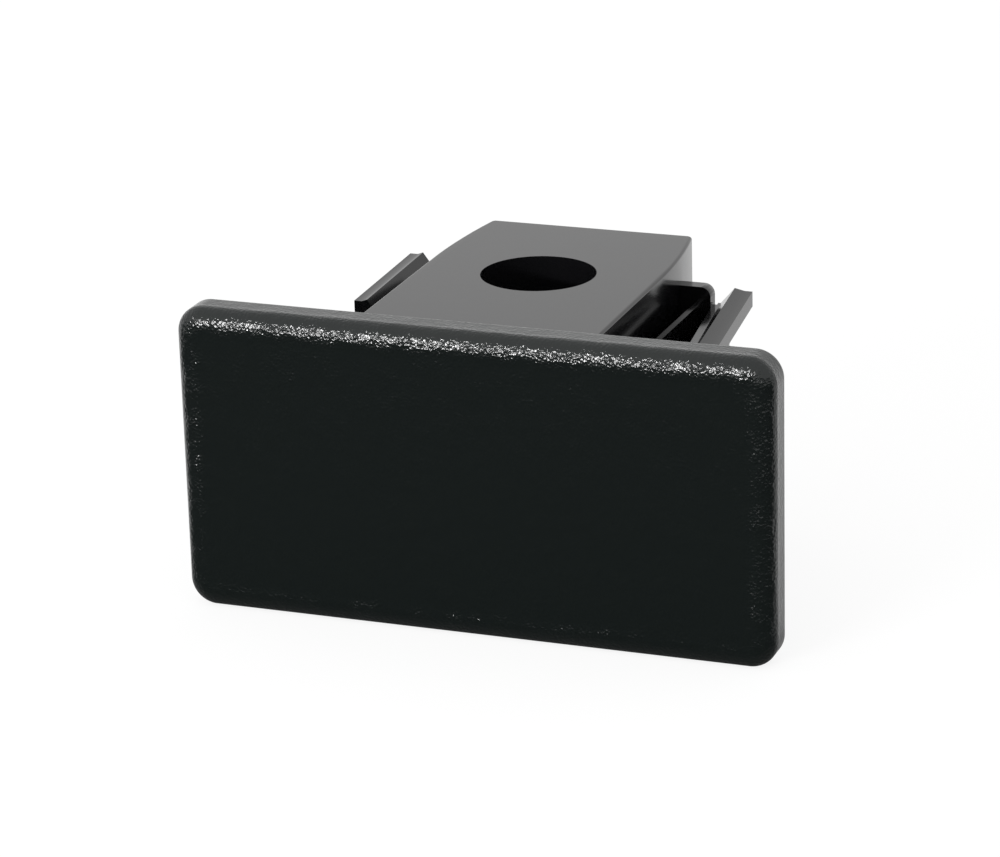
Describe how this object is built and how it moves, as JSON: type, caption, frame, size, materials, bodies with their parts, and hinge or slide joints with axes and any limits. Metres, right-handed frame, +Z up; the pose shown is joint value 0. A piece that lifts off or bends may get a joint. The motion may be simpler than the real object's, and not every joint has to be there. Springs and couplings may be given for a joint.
{
  "type": "profile end cap",
  "caption": "Moulded plastic end cap for a C-section channel: grained cover plate with a snap-in insert, a central block with a round hole and a barbed arm each side.",
  "frame": {"origin": "centre of the cover plate's rear seating face, which meets the cut end of the channel", "axes": "+Y the way the insert goes into the channel, +Z up towards the channel's open side, +X to the right seen from the front of the plate"},
  "size_m": [0.041, 0.0249, 0.021],
  "materials": {
    "black_plastic": "fine grained cover plate, smooth glossy insert"
  },
  "bodies": {
    "root": {"end_cap": "black_plastic"}
  },
  "joints": []
}
